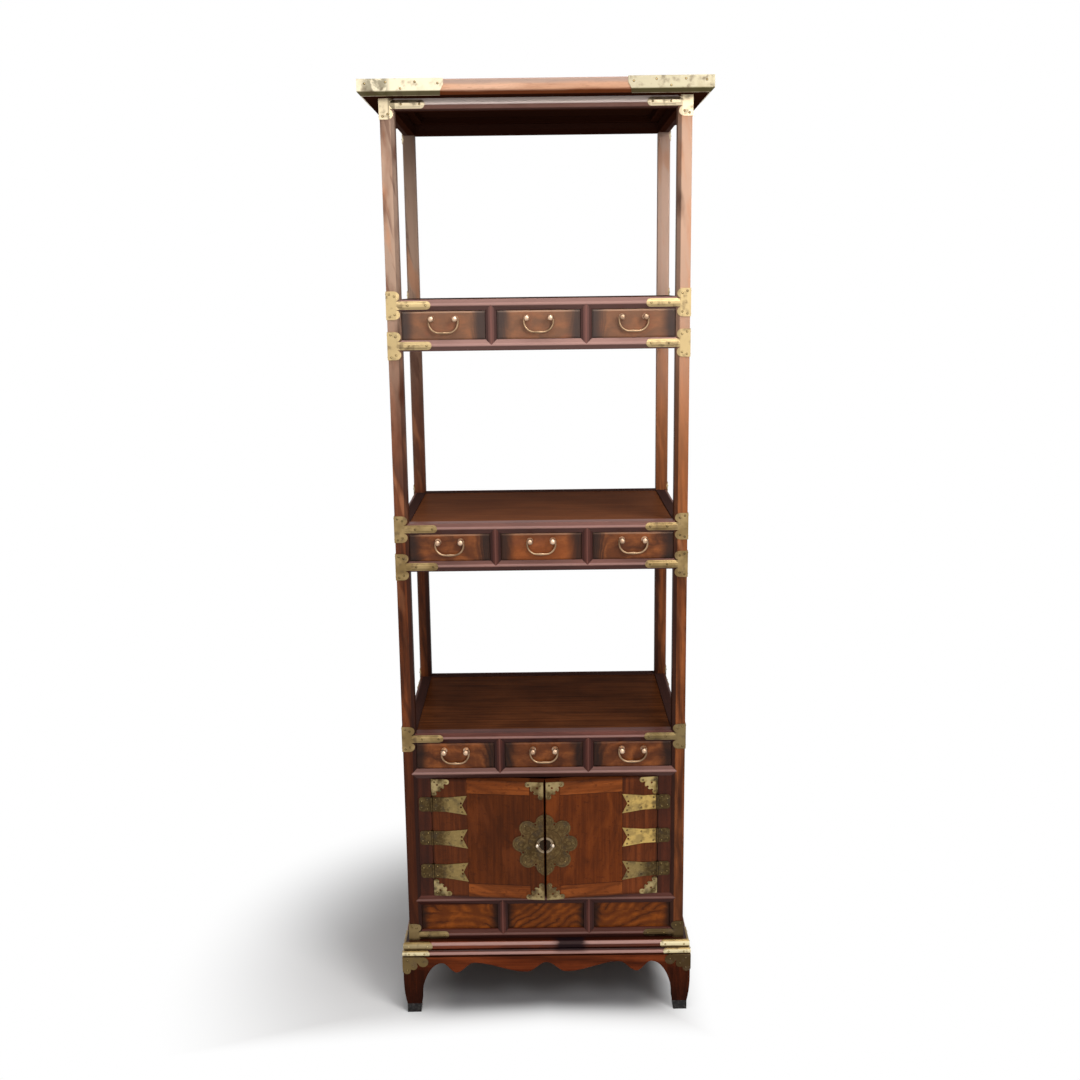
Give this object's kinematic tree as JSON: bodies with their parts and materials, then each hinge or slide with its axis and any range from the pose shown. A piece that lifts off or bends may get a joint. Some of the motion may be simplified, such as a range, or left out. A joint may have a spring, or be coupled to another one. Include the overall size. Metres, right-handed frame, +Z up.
{
  "type": "three-tier etagere",
  "caption": "Tall narrow etagere: open display bays with small drawers over a two-door cabinet, on a separate stand with shaped aprons, with brass corner mounts.",
  "frame": {"origin": "on the floor under the middle of the etagere", "axes": "+Z up, the front with drawers and doors faces -Y, +X to the right seen from the front"},
  "size_m": [0.5844, 0.4324, 1.6987],
  "materials": {
    "dark_wood": "satin lacquer, reddish black",
    "red_wood": "satin lacquer, red brown",
    "figured_wood": "satin lacquer, figured",
    "burl_wood": "satin lacquer, strongly figured",
    "drawer_wood": "satin lacquer, orange brown, darker ends",
    "pale_wood": "plain, unfinished",
    "black_wood": "blackened",
    "brass": "aged, olive patina",
    "bright_brass": "rubbed bright"
  },
  "bodies": {
    "carcase": {"post_front_left": "dark_wood", "post_front_right": "dark_wood", "post_back_left": "dark_wood", "post_back_right": "dark_wood", "crown_rails": "dark_wood", "upper_tier_rails": "dark_wood", "middle_tier_rails": "dark_wood", "cabinet_rails": "dark_wood", "top_frame": "red_wood", "top_panel": "red_wood", "upper_shelf": "figured_wood", "middle_shelf": "figured_wood", "cabinet_shelf": "figured_wood", "floor_boards": "pale_wood", "side_panels": "figured_wood", "back_panels": "red_wood", "front_panels": "burl_wood", "front_stiles": "dark_wood", "drawer_partitions": "pale_wood", "door_jambs": "dark_wood", "door_stop": "dark_wood", "stand_frame": "dark_wood", "stand_aprons": "red_wood", "stand_feet": "black_wood", "front_corner_mounts": "brass", "back_corner_mounts": "brass", "cornice_mounts": "brass", "stand_mounts": "brass", "hinge_jamb_plates": "brass"},
    "drawer_upper_left": {"drawer_upper_left": "drawer_wood", "studs_upper_left": "bright_brass"},
    "bail_upper_left": {"bail_upper_left": "bright_brass"},
    "drawer_upper_centre": {"drawer_upper_centre": "drawer_wood", "studs_upper_centre": "bright_brass"},
    "bail_upper_centre": {"bail_upper_centre": "bright_brass"},
    "drawer_upper_right": {"drawer_upper_right": "drawer_wood", "studs_upper_right": "bright_brass"},
    "bail_upper_right": {"bail_upper_right": "bright_brass"},
    "drawer_middle_left": {"drawer_middle_left": "drawer_wood", "studs_middle_left": "bright_brass"},
    "bail_middle_left": {"bail_middle_left": "bright_brass"},
    "drawer_middle_centre": {"drawer_middle_centre": "drawer_wood", "studs_middle_centre": "bright_brass"},
    "bail_middle_centre": {"bail_middle_centre": "bright_brass"},
    "drawer_middle_right": {"drawer_middle_right": "drawer_wood", "studs_middle_right": "bright_brass"},
    "bail_middle_right": {"bail_middle_right": "bright_brass"},
    "drawer_cabinet_left": {"drawer_cabinet_left": "drawer_wood", "studs_cabinet_left": "bright_brass"},
    "bail_cabinet_left": {"bail_cabinet_left": "bright_brass"},
    "drawer_cabinet_centre": {"drawer_cabinet_centre": "drawer_wood", "studs_cabinet_centre": "bright_brass"},
    "bail_cabinet_centre": {"bail_cabinet_centre": "bright_brass"},
    "drawer_cabinet_right": {"drawer_cabinet_right": "drawer_wood", "studs_cabinet_right": "bright_brass"},
    "bail_cabinet_right": {"bail_cabinet_right": "bright_brass"},
    "door_left": {"door_left": "red_wood", "door_left_mounts": "brass"},
    "door_right": {"door_right": "red_wood", "door_right_mounts": "brass"}
  },
  "joints": [
    {"name": "drawer_upper_left_slide", "type": "slide", "parent": "carcase", "child": "drawer_upper_left", "axis": [0, -1, 0], "range_m": [0, 0.24]},
    {"name": "bail_upper_left_hinge", "type": "hinge", "parent": "drawer_upper_left", "child": "bail_upper_left", "pos_m": [-0.16367, -0.187, 1.31175], "axis": [-1, 0, 0], "range_deg": [-5, 40]},
    {"name": "drawer_upper_centre_slide", "type": "slide", "parent": "carcase", "child": "drawer_upper_centre", "axis": [0, -1, 0], "range_m": [0, 0.24]},
    {"name": "bail_upper_centre_hinge", "type": "hinge", "parent": "drawer_upper_centre", "child": "bail_upper_centre", "pos_m": [0, -0.187, 1.31175], "axis": [-1, 0, 0], "range_deg": [-5, 40]},
    {"name": "drawer_upper_right_slide", "type": "slide", "parent": "carcase", "child": "drawer_upper_right", "axis": [0, -1, 0], "range_m": [0, 0.24]},
    {"name": "bail_upper_right_hinge", "type": "hinge", "parent": "drawer_upper_right", "child": "bail_upper_right", "pos_m": [0.16367, -0.187, 1.31175], "axis": [-1, 0, 0], "range_deg": [-5, 40]},
    {"name": "drawer_middle_left_slide", "type": "slide", "parent": "carcase", "child": "drawer_middle_left", "axis": [0, -1, 0], "range_m": [0, 0.24]},
    {"name": "bail_middle_left_hinge", "type": "hinge", "parent": "drawer_middle_left", "child": "bail_middle_left", "pos_m": [-0.16367, -0.187, 0.92125], "axis": [-1, 0, 0], "range_deg": [-5, 40]},
    {"name": "drawer_middle_centre_slide", "type": "slide", "parent": "carcase", "child": "drawer_middle_centre", "axis": [0, -1, 0], "range_m": [0, 0.24]},
    {"name": "bail_middle_centre_hinge", "type": "hinge", "parent": "drawer_middle_centre", "child": "bail_middle_centre", "pos_m": [0, -0.187, 0.92125], "axis": [-1, 0, 0], "range_deg": [-5, 40]},
    {"name": "drawer_middle_right_slide", "type": "slide", "parent": "carcase", "child": "drawer_middle_right", "axis": [0, -1, 0], "range_m": [0, 0.24]},
    {"name": "bail_middle_right_hinge", "type": "hinge", "parent": "drawer_middle_right", "child": "bail_middle_right", "pos_m": [0.16367, -0.187, 0.92125], "axis": [-1, 0, 0], "range_deg": [-5, 40]},
    {"name": "drawer_cabinet_left_slide", "type": "slide", "parent": "carcase", "child": "drawer_cabinet_left", "axis": [0, -1, 0], "range_m": [0, 0.24]},
    {"name": "bail_cabinet_left_hinge", "type": "hinge", "parent": "drawer_cabinet_left", "child": "bail_cabinet_left", "pos_m": [-0.16367, -0.187, 0.52775], "axis": [-1, 0, 0], "range_deg": [-5, 40]},
    {"name": "drawer_cabinet_centre_slide", "type": "slide", "parent": "carcase", "child": "drawer_cabinet_centre", "axis": [0, -1, 0], "range_m": [0, 0.24]},
    {"name": "bail_cabinet_centre_hinge", "type": "hinge", "parent": "drawer_cabinet_centre", "child": "bail_cabinet_centre", "pos_m": [0, -0.187, 0.52775], "axis": [-1, 0, 0], "range_deg": [-5, 40]},
    {"name": "drawer_cabinet_right_slide", "type": "slide", "parent": "carcase", "child": "drawer_cabinet_right", "axis": [0, -1, 0], "range_m": [0, 0.24]},
    {"name": "bail_cabinet_right_hinge", "type": "hinge", "parent": "drawer_cabinet_right", "child": "bail_cabinet_right", "pos_m": [0.16367, -0.187, 0.52775], "axis": [-1, 0, 0], "range_deg": [-5, 40]},
    {"name": "door_left_hinge", "type": "hinge", "parent": "carcase", "child": "door_left", "pos_m": [-0.211, -0.1822, 0.355], "axis": [0, 0, -1], "range_deg": [-6.5, 103.5]},
    {"name": "door_right_hinge", "type": "hinge", "parent": "carcase", "child": "door_right", "pos_m": [0.211, -0.1822, 0.355], "axis": [0, 0, 1], "range_deg": [-6.5, 103.5]}
  ]
}
